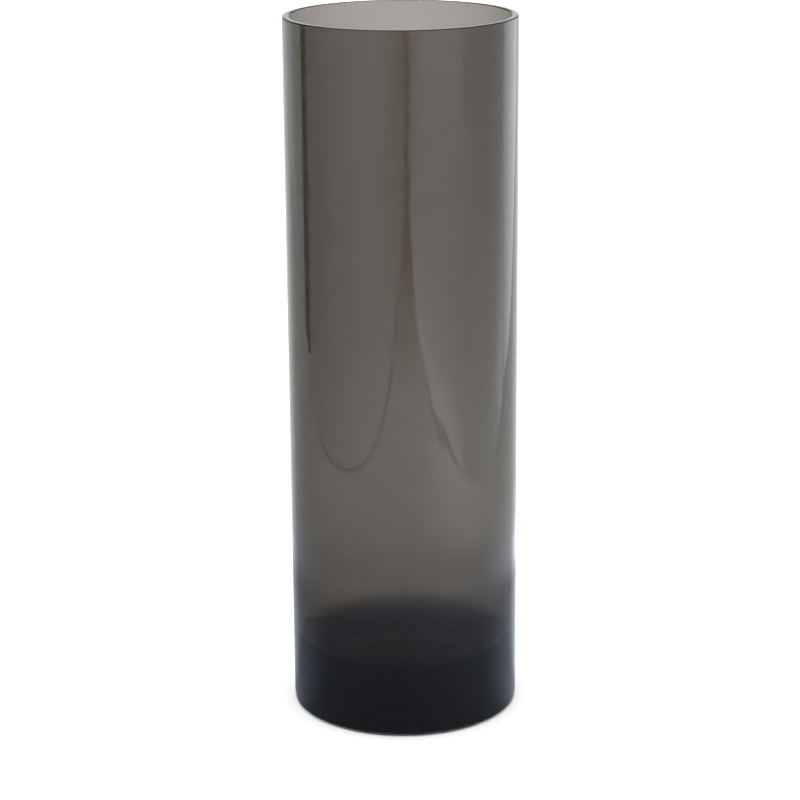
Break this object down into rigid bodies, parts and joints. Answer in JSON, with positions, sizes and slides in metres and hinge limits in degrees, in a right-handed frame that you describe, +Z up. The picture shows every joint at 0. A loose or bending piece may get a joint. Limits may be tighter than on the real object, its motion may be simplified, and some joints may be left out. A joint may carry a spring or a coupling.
{
  "type": "cylinder vase",
  "caption": "Tall straight cylinder vase in smoked clear plastic: an open tube with an eased rim, closed by a thick solid base with a dished floor.",
  "frame": {"origin": "centre of the foot, on the surface that the vase stands on", "axes": "+Z up along the vase's axis; X and Y are any two level directions, because the vase is round"},
  "size_m": [0.0974, 0.0975, 0.3],
  "materials": {
    "smoked_wall": "polished, clear, smoke-tinted through its thickness",
    "smoked_plug": "polished, clear, smoke-tinted, almost black at this thickness",
    "cured_cement": "cured clear cement with the plastic's own tint"
  },
  "bodies": {
    "root": {"tube_wall": "smoked_wall", "base_plug": "smoked_plug", "cement_bond": "cured_cement"}
  },
  "joints": []
}
